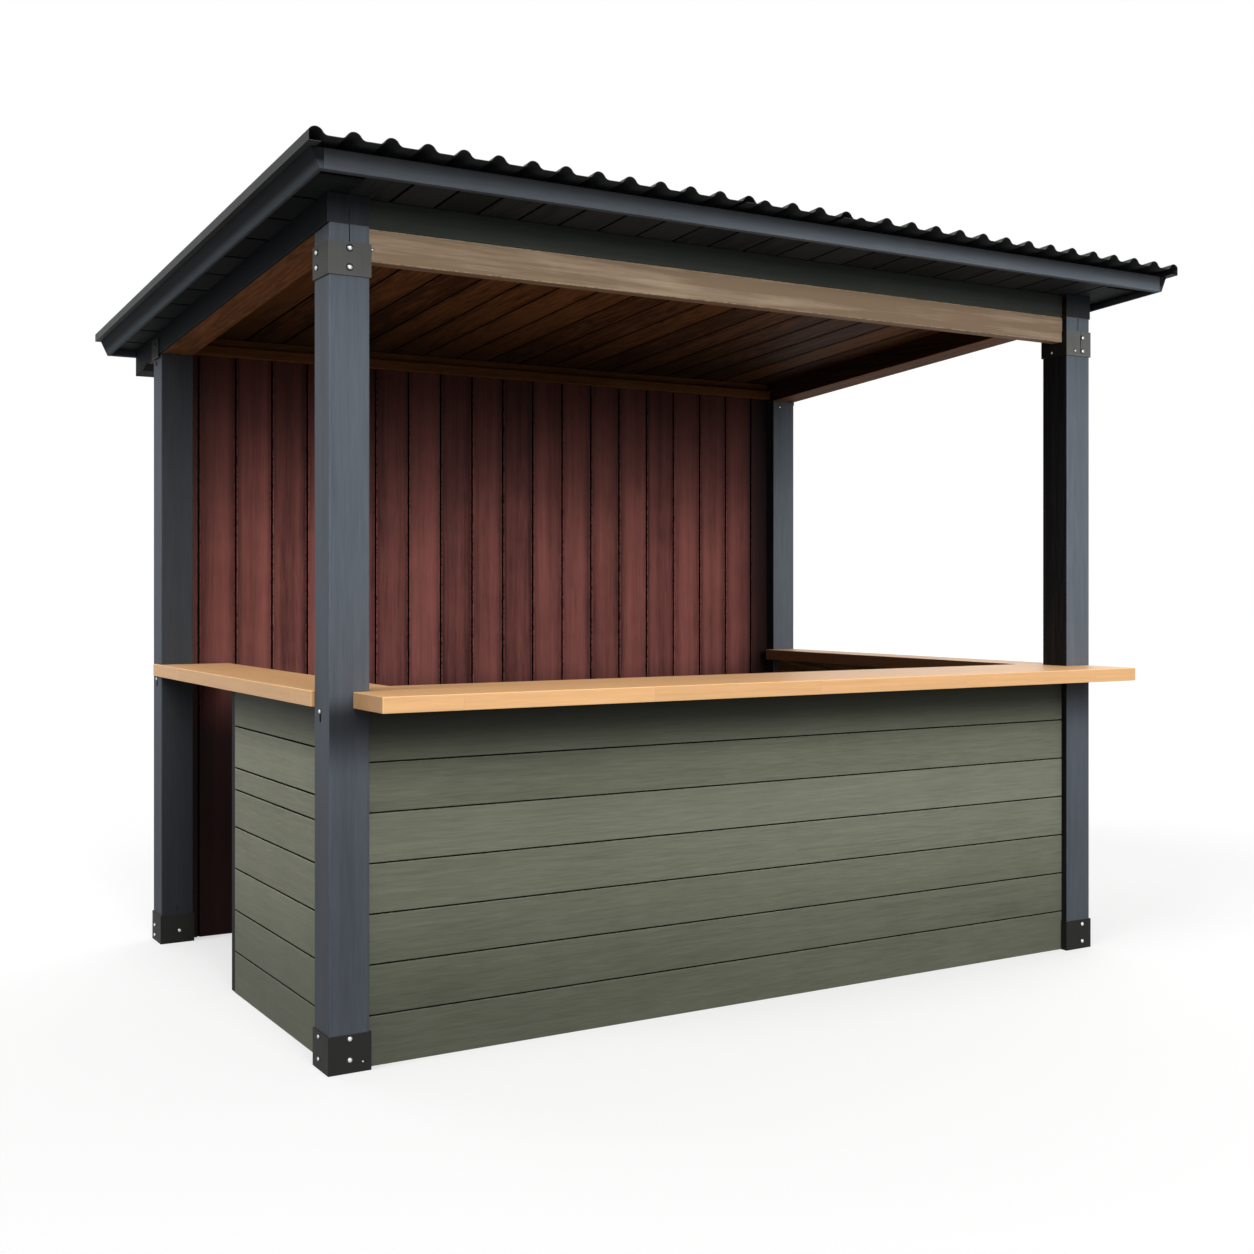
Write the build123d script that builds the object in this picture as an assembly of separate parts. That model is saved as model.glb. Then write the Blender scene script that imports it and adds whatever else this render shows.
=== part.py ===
from build123d import *
import math
import os

# Garden bar: four timber posts, a lean-to roof of corrugated sheets, boarded panels on three
# sides with a counter on top, a boarded back wall and an open way in under the left counter.
# Millimetres. X runs along the front, Y runs from the front to the back, Z is up.
# The origin is on the ground under the middle of the roof.

# Post frame, over the outer faces of the posts
frame_width = 3000.0
frame_depth = 1960.0
post_size = 120.0
joint_height = 2371.0       # joint between post and side plate, at the front faces of the posts
roof_pitch = 3.75           # degrees, falling to the back
kerf_width = 3.0            # saw kerf at the top of each front post
kerf_depth = 12.0
kerf_length = 50.0

# Steel brackets on the posts
steel = 4.0
foot_bracket_height = 108.0
head_bracket_height = 94.0
head_bracket_drop = 50.0    # from the joint down to the top of a front head bracket
bracket_clearance = 3.0
strap_width = 100.0         # rear head straps, on the outer side of the joint
strap_below_joint = 15.0
strap_above_joint = 60.0

# Plates and beams that carry the roof
plate_height = 85.0
plate_proud = 6.0           # how far a side plate stands out of the post's outer face
plate_tail_extra = 18.0     # depth added to the side plate's tail, behind the rear post
tail_shoulder = 90.0        # from the rear post to the tail's chamfer
tail_chamfer = 55.0
front_plate_thickness = 50.0
front_plate_inset = 20.0
front_beam_height = 94.0
rear_plate_height = 72.0
back_rail_height = 38.0
back_rail_thickness = 25.0

# Roof build-up and overhangs
overhang_side = 156.0
overhang_front = 279.0
overhang_rear = 299.0
ceiling_thickness = 20.0
batten_thickness = 28.0
batten_width = 70.0
batten_setback = 60.0       # from the back of an end fascia to the batten
batten_end_gap = 3.0
plate_bearing = 60.0        # how much of a plate's top the soffit boards take
fascia_thickness = 20.0
fascia_drop = 26.0          # how far the fascias hang under the soffit
fascia_rise = 10.0          # how far they stand over the ceiling boards
fascia_setback_front = 35.0
fascia_setback_rear = 13.0
fascia_setback_side = 54.0  # from the roof's edge to the upright inner face of a side fascia
side_fascia_foot = 10.0     # a side fascia is a wedge, this thick at its bottom edge
side_fascia_splay = 26.0    # how much thicker it is at its top edge

# Corrugated roof sheets: two wide ones with a turned-down verge, and a narrow one between them
sheet_gauge = 1.5
wave_depth = 20.0
left_waves = 14
middle_waves = 4
right_waves = 15
lap_step = 61.0             # from a sheet's last crest to the first crest of the next sheet
crest_radius = 21.0
trough_radius = 19.0
flange_depth = 39.0         # from the top of the crests
flange_lip = 34.0           # turned in over the side fascia
middle_edge_crest = 14.0    # a sheet's first crest beside a lap is lower
right_edge_crest = 8.0
lap_clearance = 0.3
lap_cover = 10.0            # how far a sheet reaches in past the middle of the crest that covers it

# Counters
counter_height = 1064.0
counter_thickness = 46.0
front_counter_overhang = 220.0
front_counter_behind = 200.0    # from the posts' front faces to the counter's inner edge
front_counter_start = 70.0      # left end, from the outer face of the left post
side_counter_width = 270.0
right_counter_width = 165.0
side_counter_proud = 10.0
side_counter_lap = 85.0         # how far the left counter runs along the rear post

# Boarded panels under the counters, and their frame
board_thickness = 20.0
front_panel_inset = 25.0
side_panel_inset = 35.0
left_panel_length = 924.0       # from the front post to the free end
end_stud_width = 40.0
front_board_height = 143.5
left_board_heights = [139.0, 139.0, 139.0, 139.0, 125.0, 73.0, 139.0]
groove_width = 8.0
groove_depth = 6.0
rail_thickness = 45.0
top_rail_height = 95.0
bottom_rail_height = 45.0
stud_width = 45.0
front_stud_count = 3
right_stud_count = 2
side_stud_count = 1

# Back wall
wall_setback = 50.0             # from the front faces of the rear posts to the boards
wall_board_width = 146.0
first_wall_board = 35.0
wall_rail_count = 3

os.makedirs("parts", exist_ok=True)

# Places that follow from the sizes above
fall = math.tan(math.radians(roof_pitch))
roof_depth = overhang_front + frame_depth + overhang_rear
roof_front = -roof_depth / 2
roof_rear = roof_depth / 2
front_y = roof_front + overhang_front
rear_y = front_y + frame_depth
left_x = -frame_width / 2
right_x = frame_width / 2
left_inner = left_x + post_size
right_inner = right_x - post_size
front_inner = front_y + post_size
rear_inner = rear_y - post_size
roof_edge = right_x + overhang_side
soffit_height = joint_height + plate_height
ceiling_top = soffit_height + ceiling_thickness
sheet_height = ceiling_top + batten_thickness
fascia_bottom = soffit_height - fascia_drop
fascia_top = ceiling_top + fascia_rise
fascia_front = roof_front + fascia_setback_front
fascia_rear = roof_rear - fascia_setback_rear
fascia_end = roof_edge - fascia_setback_side
counter_underside = counter_height - counter_thickness
wall_face = rear_inner + wall_setback


def at_slope(height, y):
    """Height at y of a sloping line that has this height at the front faces of the posts."""
    return height - (y - front_y) * fall


def block(x0, x1, y0, y1, z0, z1):
    """A box between two corners."""
    return Pos(x0, y0, z0) * Box(x1 - x0, y1 - y0, z1 - z0, align=(Align.MIN, Align.MIN, Align.MIN))


def across(outline, x0, x1):
    """A solid with an outline of (y, z) points, from x0 to x1."""
    face = Face(Wire.make_polygon([Vector(x0, y, z) for y, z in outline]))
    return Solid.extrude(face, Vector(x1 - x0, 0, 0))


def down_slope(outline, y0, y1):
    """A solid whose outline of (x, height) points runs down the roof's slope from y0 to y1."""
    face = Face(Wire.make_polygon([Vector(x, y0, at_slope(z, y0)) for x, z in outline]))
    return Solid.extrude(face, Vector(0, y1 - y0, -(y1 - y0) * fall))


def slope_slab(x0, x1, y0, y1, bottom, top):
    """A board of even height that lies on the slope, with upright ends and sides."""
    return down_slope([(x0, bottom), (x1, bottom), (x1, top), (x0, top)], y0, y1)


def mirror_x(solid):
    """The same piece on the other side."""
    return mirror(solid, about=Plane.YZ)


def save(name, shape):
    """Writes one named piece."""
    shape.label = name
    export_step(shape, "parts/" + name + ".step")


# Posts, cut to the slope at the top, with a saw kerf in each front post
def post(x0, y0, z0):
    y1 = y0 + post_size
    outline = [(y0, z0), (y1, z0), (y1, at_slope(joint_height, y1)), (y0, at_slope(joint_height, y0))]
    return across(outline, x0, x0 + post_size)


def kerf(x0):
    middle = x0 + post_size / 2
    return block(
        middle - kerf_width / 2,
        middle + kerf_width / 2,
        front_y,
        front_y + kerf_depth,
        joint_height - kerf_length,
        joint_height,
    )


save("post_front_left", post(left_x, front_y, steel) - kerf(left_x))
save("post_front_right", post(right_inner, front_y, steel) - kerf(right_inner))
save("post_back_left", post(left_x, rear_inner, steel))
save("post_back_right", post(right_inner, rear_inner, steel))


# Brackets: a steel band round the post, opened where a board or beam meets the post
def band(x0, y0, z0, z1):
    outer = block(x0 - steel, x0 + post_size + steel, y0 - steel, y0 + post_size + steel, z0, z1)
    return outer - block(x0, x0 + post_size, y0, y0 + post_size, z0, z1)


def foot_bracket(x0, y0, gaps):
    shoe = band(x0, y0, 0, foot_bracket_height)
    shoe += block(x0, x0 + post_size, y0, y0 + post_size, 0, steel)
    for gap in gaps:
        shoe -= gap
    return shoe


front_gap_y = front_y + front_panel_inset - bracket_clearance
left_gap_x = left_x + side_panel_inset - bracket_clearance
wall_gap_y = wall_face - bracket_clearance
front_left_gaps = [
    block(left_inner, left_inner + steel, front_gap_y, front_inner + steel, 0, foot_bracket_height),
    block(left_gap_x, left_inner + steel, front_inner, front_inner + steel, 0, foot_bracket_height),
]
rear_wall_gap = block(left_inner, left_inner + steel, wall_gap_y, rear_y, 0, foot_bracket_height)
rear_panel_gap = block(
    left_gap_x, left_inner + steel, rear_inner - steel, rear_inner, 0, foot_bracket_height
)
rear_corner_gap = block(
    left_inner, left_inner + steel, rear_inner - steel, rear_y, 0, foot_bracket_height
)
save("foot_bracket_front_left", foot_bracket(left_x, front_y, front_left_gaps))
save("foot_bracket_front_right", mirror_x(foot_bracket(left_x, front_y, front_left_gaps)))
save("foot_bracket_back_left", foot_bracket(left_x, rear_inner, [rear_wall_gap]))
save(
    "foot_bracket_back_right",
    mirror_x(foot_bracket(left_x, rear_inner, [rear_panel_gap, rear_corner_gap])),
)

front_beam_bottom = joint_height - front_beam_height
head_top = joint_height - head_bracket_drop
head_bottom = head_top - head_bracket_height
beam_front = front_y + front_plate_inset
beam_back = beam_front + front_plate_thickness
beam_gap = block(
    left_inner,
    left_inner + steel,
    beam_front - bracket_clearance,
    beam_back + bracket_clearance,
    front_beam_bottom - bracket_clearance,
    head_top,
)
front_head_bracket = band(left_x, front_y, head_bottom, head_top) - beam_gap
save("head_bracket_front_left", front_head_bracket)
save("head_bracket_front_right", mirror_x(front_head_bracket))


# Rear straps: a joggled plate on the outer side, over the side plate and the top of the post
def rear_strap():
    y0 = rear_inner + (post_size - strap_width) / 2
    y1 = y0 + strap_width
    joint = at_slope(joint_height, y0)
    face = left_x - plate_proud
    outline = [
        (face - steel, joint - strap_below_joint),
        (left_x, joint - strap_below_joint),
        (left_x, at_slope(joint_height, y1)),
        (face, at_slope(joint_height, y1)),
        (face, joint + strap_above_joint),
        (face - steel, joint + strap_above_joint),
    ]
    section = Face(Wire.make_polygon([Vector(x, y0, z) for x, z in outline]))
    return Solid.extrude(section, Vector(0, strap_width, 0))


save("head_bracket_back_left", rear_strap())
save("head_bracket_back_right", mirror_x(rear_strap()))


# Side plates on the posts, with a deeper tail behind the rear post
def side_plate():
    y0 = front_y
    y1 = fascia_rear - fascia_thickness
    shoulder = rear_y + tail_shoulder
    chamfer = shoulder + tail_chamfer
    tail = joint_height - plate_tail_extra
    outline = [
        (y0, at_slope(joint_height, y0)),
        (shoulder, at_slope(joint_height, shoulder)),
        (chamfer, at_slope(tail, chamfer)),
        (y1, at_slope(tail, y1)),
        (y1, at_slope(soffit_height, y1)),
        (y0, at_slope(soffit_height, y0)),
    ]
    return across(outline, left_x - plate_proud, left_inner)


save("side_plate_left", side_plate())
save("side_plate_right", mirror_x(side_plate()))


# Front plate over the front beam, between the side plates and the posts
def cross_member(y0, y1, bottom, top=None):
    z0 = at_slope(soffit_height, y0) if top is None else top
    z1 = at_slope(soffit_height, y1) if top is None else top
    return across([(y0, bottom), (y1, bottom), (y1, z1), (y0, z0)], left_inner, right_inner)


save("front_plate", cross_member(beam_front, beam_back, joint_height))
save("front_beam", cross_member(beam_front, beam_back, front_beam_bottom, joint_height))

# Rear plate over the back wall, with a cover rail on its inner face
rear_plate_bottom = at_slope(soffit_height, wall_face) - rear_plate_height
rear_plate_back = wall_face + board_thickness + rail_thickness
save("rear_plate", cross_member(wall_face, rear_plate_back, rear_plate_bottom))
save(
    "back_rail",
    cross_member(
        wall_face - back_rail_thickness,
        wall_face,
        rear_plate_bottom,
        rear_plate_bottom + back_rail_height,
    ),
)


# Boarding: a slab with a groove in its outer face at each joint between two boards
def joint_lines(first, step, end):
    lines = [first]
    while lines[-1] + step < end - groove_width:
        lines.append(lines[-1] + step)
    return lines


def front_boarding():
    panel = block(
        left_inner,
        right_inner,
        front_y + front_panel_inset,
        front_y + front_panel_inset + board_thickness,
        0,
        counter_underside,
    )
    face = front_y + front_panel_inset
    for z in joint_lines(front_board_height, front_board_height, counter_underside - front_board_height / 2):
        panel -= block(
            left_inner, right_inner, face, face + groove_depth, z - groove_width / 2, z + groove_width / 2
        )
    return panel


def side_boarding(length, heights):
    x0 = left_x + side_panel_inset
    panel = block(x0, x0 + board_thickness, front_inner, front_inner + length, 0, counter_underside)
    z = 0
    for height in heights:
        z += height
        panel -= block(
            x0, x0 + groove_depth, front_inner, front_inner + length, z - groove_width / 2, z + groove_width / 2
        )
    return panel


def wall_boarding():
    back = wall_face + board_thickness
    panel = block(left_inner, right_inner, wall_face, back, 0, rear_plate_bottom)
    for x in joint_lines(left_inner + first_wall_board, wall_board_width, right_inner):
        panel -= block(
            x - groove_width / 2,
            x + groove_width / 2,
            wall_face,
            wall_face + groove_depth,
            0,
            rear_plate_bottom,
        )
    return panel


left_board_length = left_panel_length - end_stud_width
right_board_length = rear_inner - front_inner
save("front_panel", front_boarding())
save("left_panel", side_boarding(left_board_length, left_board_heights))
save("right_panel", mirror_x(side_boarding(right_board_length, left_board_heights)))
save("back_wall", wall_boarding())

# Frame behind the boards: top and bottom rails, and studs between them
side_board_back = left_x + side_panel_inset + board_thickness
side_rail_back = side_board_back + rail_thickness
front_board_back = front_y + front_panel_inset + board_thickness
front_rail_back = front_board_back + rail_thickness
left_end = front_inner + left_board_length
save(
    "left_end_stud",
    block(
        left_x + side_panel_inset,
        side_rail_back,
        left_end,
        left_end + end_stud_width,
        0,
        counter_underside,
    ),
)


def rails(z0, z1):
    front = block(left_inner, right_inner, front_board_back, front_rail_back, z0, z1)
    left = block(side_board_back, side_rail_back, front_inner, left_end, z0, z1)
    right = mirror_x(block(side_board_back, side_rail_back, front_inner, rear_inner, z0, z1))
    return Compound([front, left, right])


def evenly(start, end, count):
    """Middles of count studs that share the way from start to end."""
    return [start + (end - start) * (n + 1) / (count + 1) for n in range(count)]


def studs():
    z0 = bottom_rail_height
    z1 = counter_underside - top_rail_height
    half = stud_width / 2
    pieces = []
    for x in evenly(left_inner, right_inner, front_stud_count):
        pieces.append(block(x - half, x + half, front_board_back, front_rail_back, z0, z1))
    for y in evenly(front_inner, left_end, side_stud_count):
        pieces.append(block(side_board_back, side_rail_back, y - half, y + half, z0, z1))
    for y in evenly(front_inner, rear_inner, right_stud_count):
        pieces.append(mirror_x(block(side_board_back, side_rail_back, y - half, y + half, z0, z1)))
    return Compound(pieces)


def wall_rails():
    y0 = wall_face + board_thickness
    y1 = y0 + rail_thickness
    room = rear_plate_bottom - top_rail_height
    pieces = []
    for n in range(wall_rail_count):
        z0 = room * n / (wall_rail_count - 1)
        pieces.append(block(left_inner, right_inner, y0, y1, z0, z0 + top_rail_height))
    return Compound(pieces)


save("top_rails", rails(counter_underside - top_rail_height, counter_underside))
save("bottom_rails", rails(0, bottom_rail_height))
save("panel_studs", studs())
save("wall_rails", wall_rails())


# Counters, each cut round the posts that it passes
def plan(points):
    face = Face(Wire.make_polygon([Vector(x, y, counter_underside) for x, y in points]))
    return Solid.extrude(face, Vector(0, 0, counter_thickness))


counter_front_edge = front_y - front_counter_overhang
counter_back_edge = front_y + front_counter_behind
counter_left_end = left_x + front_counter_start
left_counter_inner = left_x - side_counter_proud + side_counter_width
right_counter_inner = right_x - right_counter_width
save(
    "counter_front",
    plan(
        [
            (counter_left_end, counter_front_edge),
            (right_x, counter_front_edge),
            (right_x, front_y),
            (right_inner, front_y),
            (right_inner, counter_back_edge),
            (left_inner, counter_back_edge),
            (left_inner, front_y),
            (counter_left_end, front_y),
        ]
    ),
)
save(
    "counter_left",
    plan(
        [
            (left_x - side_counter_proud, front_inner),
            (left_inner, front_inner),
            (left_inner, counter_back_edge),
            (left_counter_inner, counter_back_edge),
            (left_counter_inner, rear_inner),
            (left_x, rear_inner),
            (left_x, rear_inner + side_counter_lap),
            (left_x - side_counter_proud, rear_inner + side_counter_lap),
        ]
    ),
)
save(
    "counter_right",
    plan(
        [
            (right_x, front_inner),
            (right_x, rear_inner),
            (right_counter_inner, rear_inner),
            (right_counter_inner, counter_back_edge),
            (right_inner, counter_back_edge),
            (right_inner, front_inner),
        ]
    ),
)


# Ceiling boards inside, and soffit boards under the overhangs, all on the plates
ceiling_left = left_x - plate_proud + plate_bearing
ceiling_front = beam_front + front_plate_thickness / 2
ceiling_rear = wall_face + (rear_plate_back - wall_face) / 2
soffit_front_y = fascia_front + fascia_thickness
soffit_rear_y = fascia_rear - fascia_thickness


def flat_boards(x0, x1, y0, y1):
    return slope_slab(x0, x1, y0, y1, soffit_height, ceiling_top)


side_soffit = flat_boards(-fascia_end, ceiling_left, soffit_front_y, soffit_rear_y)
save("ceiling", flat_boards(ceiling_left, -ceiling_left, ceiling_front, ceiling_rear))
save("soffit_front", flat_boards(ceiling_left, -ceiling_left, soffit_front_y, ceiling_front))
save("soffit_back", flat_boards(ceiling_left, -ceiling_left, ceiling_rear, soffit_rear_y))
save("soffit_left", side_soffit)
save("soffit_right", mirror_x(side_soffit))


# Battens across the ceiling boards, which carry the roof sheets
def batten(y0):
    reach = fascia_end - batten_end_gap
    return slope_slab(-reach, reach, y0, y0 + batten_width, ceiling_top, sheet_height)


save("batten_front", batten(soffit_front_y + batten_setback))
save("batten_middle", batten((soffit_front_y + soffit_rear_y - batten_width) / 2))
save("batten_back", batten(soffit_rear_y - batten_setback - batten_width))


# Fascias: boards at the front and the back, between side fascias that splay outwards
def end_fascia(y0):
    y1 = y0 + fascia_thickness
    outline = [
        (y0, at_slope(fascia_bottom, y0)),
        (y1, at_slope(fascia_bottom, y1)),
        (y1, at_slope(fascia_top, y1)),
        (y0, at_slope(fascia_top, y0)),
    ]
    return across(outline, -fascia_end, fascia_end)


def side_fascia():
    foot = -fascia_end - side_fascia_foot
    outline = [
        (-fascia_end, fascia_bottom),
        (-fascia_end, fascia_top),
        (foot - side_fascia_splay, fascia_top),
        (foot, fascia_bottom),
    ]
    return down_slope(outline, fascia_front, fascia_rear)


save("fascia_front", end_fascia(fascia_front))
save("fascia_back", end_fascia(fascia_rear - fascia_thickness))
save("fascia_left", side_fascia())
save("fascia_right", mirror_x(side_fascia()))


# Corrugated sheets: narrow round crests between flat troughs, drawn as tangent arcs.
# A line at offset 0 is the underside, and one at offset sheet_gauge is the top.
def flank_angle(height):
    """How steep the flank is where the two arcs of a wave of this height meet."""
    return math.acos(1 - height / (crest_radius + trough_radius))


first_crest = -roof_edge + sheet_gauge + crest_radius * math.sin(flank_angle(wave_depth))
flange_bottom = wave_depth + sheet_gauge - flange_depth
lap_angle = math.acos(1 - (sheet_gauge + lap_clearance) / trough_radius)
join_gap = 1e-6             # two ends that are closer than this already meet
full_steps = left_waves + middle_waves + right_waves - 3
wave_pitch = (-2 * first_crest - 2 * lap_step) / full_steps
left_last = first_crest + (left_waves - 1) * wave_pitch
middle_first = left_last + lap_step
middle_last = middle_first + (middle_waves - 1) * wave_pitch
right_first = middle_last + lap_step


def arc(cx, cz, radius, start, end):
    """Three points on an arc: its two ends and its middle, by angle."""
    angles = [start, (start + end) / 2, end]
    return [(cx + radius * math.cos(a), cz + radius * math.sin(a)) for a in angles]


def rise(x, offset, height):
    """The arc from a trough's flat up to the flank on the left of the crest at x."""
    angle = flank_angle(height)
    middle = x - (crest_radius + trough_radius) * math.sin(angle)
    down = -math.pi / 2
    return arc(middle, trough_radius, trough_radius - offset, down, down + angle)


def crest(x, offset, height):
    """The arc over the crest at x, from flank to flank."""
    angle = flank_angle(height)
    up = math.pi / 2
    return arc(x, height - crest_radius, crest_radius + offset, up + angle, up - angle)


def descent(x, offset, height, lands=0.0):
    """The arc from the flank on the right of the crest at x down to the flat, or short of it."""
    angle = flank_angle(height)
    middle = x + (crest_radius + trough_radius) * math.sin(angle)
    down = -math.pi / 2
    return arc(middle, trough_radius, trough_radius - offset, down - angle, down - lands)


def wave(x, offset, height=wave_depth):
    return [rise(x, offset, height), crest(x, offset, height), descent(x, offset, height)]


def last_wave(x, offset):
    """A wave that ends where it comes down on the sheet under it."""
    return [
        rise(x, offset, wave_depth),
        crest(x, offset, wave_depth),
        descent(x, offset, wave_depth, lap_angle),
    ]


def verge(offset):
    """The left verge: lip, upright flange and the arc over the first crest."""
    x = -roof_edge + sheet_gauge - offset
    z = flange_bottom + sheet_gauge - offset
    radius = crest_radius + offset
    turn = math.acos((x - first_crest) / radius)
    over = arc(first_crest, wave_depth - crest_radius, radius, turn, math.pi / 2 - flank_angle(wave_depth))
    return [
        [(-roof_edge + flange_lip, z), (x, z)],
        [(x, z), over[0]],
        over,
        descent(first_crest, offset, wave_depth),
    ]


def left_path(offset):
    path = verge(offset)
    for n in range(1, left_waves - 1):
        path += wave(first_crest + n * wave_pitch, offset)
    return path + last_wave(left_last, offset)


def middle_path(offset):
    path = [[(left_last - lap_cover, offset)]]
    path += wave(middle_first, offset, middle_edge_crest)
    for n in range(1, middle_waves - 1):
        path += wave(middle_first + n * wave_pitch, offset)
    return path + last_wave(middle_last, offset)


def right_path(offset):
    path = [[(middle_last - lap_cover, offset)]]
    path += wave(right_first, offset, right_edge_crest)
    for n in range(1, right_waves - 1):
        path += wave(right_first + n * wave_pitch, offset)
    mirrored = [[(-x, z) for x, z in reversed(piece)] for piece in reversed(verge(offset))]
    return path + mirrored


def edges_of(path, y):
    """Joins the points, lines and arcs of a path with straight runs where they leave a gap."""
    place = [[Vector(x, y, at_slope(sheet_height, y) + z) for x, z in piece] for piece in path]
    edges = []
    last = place[0][0]
    for piece in place:
        if (piece[0] - last).length > join_gap:
            edges.append(Edge.make_line(last, piece[0]))
        if len(piece) == 3:
            edges.append(Edge.make_three_point_arc(*piece))
        elif len(piece) == 2:
            edges.append(Edge.make_line(*piece))
        last = piece[-1]
    return edges, place[0][0], last


def sheet(path):
    lower, lower_start, lower_end = edges_of(path(0.0), roof_front)
    upper, upper_start, upper_end = edges_of(path(sheet_gauge), roof_front)
    ends = [Edge.make_line(lower_start, upper_start), Edge.make_line(lower_end, upper_end)]
    face = Face(Wire(lower + upper + ends))
    return Solid.extrude(face, Vector(0, roof_depth, -roof_depth * fall))


save("roof_sheet_left", sheet(left_path))
save("roof_sheet_middle", sheet(middle_path))
save("roof_sheet_right", sheet(right_path))
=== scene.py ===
# %% [markdown]
# # Garden bar
#
# An open timber bar for a garden: four posts carry a lean-to roof of corrugated sheets. Boards
# close the back and the lower part of the other sides, with a way in at the left, and a counter
# runs round on top of them. The CAD model gives every main shape and place. This lesson dresses
# it: boards one by one, rounded arrises, bolts and screws, and a finish for each wood and metal.

# %% Load the CAD frame
import math
import random

import bmesh
import bpy
from mathutils import Matrix, Vector
from mathutils.bvhtree import BVHTree


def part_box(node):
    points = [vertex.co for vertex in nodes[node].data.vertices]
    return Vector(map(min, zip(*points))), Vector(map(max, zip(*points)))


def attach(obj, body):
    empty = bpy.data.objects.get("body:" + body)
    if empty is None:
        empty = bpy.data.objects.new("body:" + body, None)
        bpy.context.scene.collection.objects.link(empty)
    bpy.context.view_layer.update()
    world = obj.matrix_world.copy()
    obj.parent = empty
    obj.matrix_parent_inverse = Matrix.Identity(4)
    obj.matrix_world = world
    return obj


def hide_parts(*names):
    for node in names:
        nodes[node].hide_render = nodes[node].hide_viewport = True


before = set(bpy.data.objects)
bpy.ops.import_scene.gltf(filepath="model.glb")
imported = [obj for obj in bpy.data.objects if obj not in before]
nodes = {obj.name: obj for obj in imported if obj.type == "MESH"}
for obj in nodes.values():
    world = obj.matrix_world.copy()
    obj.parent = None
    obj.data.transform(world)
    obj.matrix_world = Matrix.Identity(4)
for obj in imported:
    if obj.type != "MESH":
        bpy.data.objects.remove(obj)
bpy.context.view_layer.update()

# %% [markdown]
# ## Camera
#
# The photograph was taken from the left of the front, at about chest height, and its upright
# lines are upright. So the camera stays level and is only turned to the side. A small shift puts
# the horizon where the photograph has it; tilting the camera instead would make the posts lean.

# %% Camera
def add_object(name, data):
    """Makes an object of its data and puts it in the scene."""
    made = bpy.data.objects.new(name, data)
    bpy.context.scene.collection.objects.link(made)
    return made


camera_place = (-2.969, -5.053, 1.353)
camera_turn = math.radians(30.908)
camera = add_object("camera", bpy.data.cameras.new("camera"))
camera.location = camera_place
camera.rotation_euler = (math.radians(90), 0, -camera_turn)
camera.data.lens = 43.9
camera.data.sensor_width = 36.0
camera.data.shift_y = -0.0305
bpy.context.scene.camera = camera
bpy.context.scene.view_settings.view_transform = "Standard"
print("camera", round(Vector(camera_place).length, 2), "m from the middle of the floor")

# %% [markdown]
# ## Writing shaders like sums
#
# A material is a tree of nodes. Made by hand in Python, each node takes four lines, and the idea
# is lost. So one small class wraps a socket: a sum written with + - * / adds Math nodes, and one
# method adds any other node from its type, its settings and its inputs.


# %% A socket that can be used in sums
def plug(socket, value):
    """Links a field to a socket, or sets the socket's own value."""
    if isinstance(value, Field):
        socket.id_data.links.new(value.socket, socket)
    else:
        socket.default_value = value


class Field:
    """A value that changes over a surface: one output socket of a shader tree."""

    def __init__(self, socket):
        self.socket = socket

    def node(self, kind, settings=None, inputs=None, output=0):
        """Adds a node to the same tree: its settings first, then its inputs."""
        made = self.socket.id_data.nodes.new(kind)
        for name, value in (settings or {}).items():
            setattr(made, name, value)
        for name, value in (inputs or {}).items():
            plug(made.inputs[name], value)
        return Field(made.outputs[output])

    def maths(self, operation, *values):
        return self.node("ShaderNodeMath", {"operation": operation}, dict(enumerate(values)))

    def __add__(self, other):
        return self.maths("ADD", self, other)

    def __radd__(self, other):
        return self.maths("ADD", other, self)

    def __sub__(self, other):
        return self.maths("SUBTRACT", self, other)

    def __rsub__(self, other):
        return self.maths("SUBTRACT", other, self)

    def __mul__(self, other):
        return self.maths("MULTIPLY", self, other)

    def __rmul__(self, other):
        return self.maths("MULTIPLY", other, self)

    def __truediv__(self, other):
        return self.maths("DIVIDE", self, other)

    def ramp(self, low, high):
        """0 below low, 1 above high, and an even curve between them."""
        limits = {"Value": self, "From Min": low, "From Max": high}
        return self.node("ShaderNodeMapRange", {"interpolation_type": "SMOOTHSTEP"}, limits)

    def between(self, first, second):
        """A colour between two others: this field says how far along."""
        inputs = {0: self, 6: first, 7: second}
        return self.node("ShaderNodeMix", {"data_type": "RGBA"}, inputs, output=2)


# %% [markdown]
# ## Light, floor and background
#
# The photograph is a product picture on a white floor, with soft shadows. So the lamps are suns
# with wide discs. The key light is low and in front: it reaches under the roof and lets the back
# wall darken towards the ceiling, as there. A higher one lights the counters' tops and makes the
# shadow under them, and one at the left keeps the left side nearly as light as the front. Two
# weak ones, from the right and from behind, only make the hidden sides readable. The world is a
# plain grey light, but white for the camera and for reflections. The floor adds just enough white
# of its own for the camera that only the object's shadow is left.

# %% World
world = bpy.data.worlds.new("studio")
world.use_nodes = True
bpy.context.scene.world = world
ambient_level = 0.28
white = (1.0, 1.0, 1.0, 1.0)


def grey(level):
    return (level, level, level, 1.0)


def seen_or_mirrored(field):
    """1 for rays of the camera and for those that gloss or glass sends on."""
    rays = field.node("ShaderNodeLightPath").socket.node.outputs
    seen = Field(rays["Is Camera Ray"])
    return seen + Field(rays["Is Glossy Ray"]) + Field(rays["Is Transmission Ray"])


grey_light = Field(world.node_tree.nodes["Background"].outputs[0])
plug(grey_light.socket.node.inputs["Color"], white)
plug(grey_light.socket.node.inputs["Strength"], ambient_level)
backdrop = grey_light.node("ShaderNodeBackground", {}, {"Color": white, "Strength": 1.0})
lights = {0: seen_or_mirrored(grey_light), 1: grey_light, 2: backdrop}
sky = grey_light.node("ShaderNodeMixShader", {}, lights)
plug(world.node_tree.nodes["World Output"].inputs["Surface"], sky)
print("world light", ambient_level)


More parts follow.
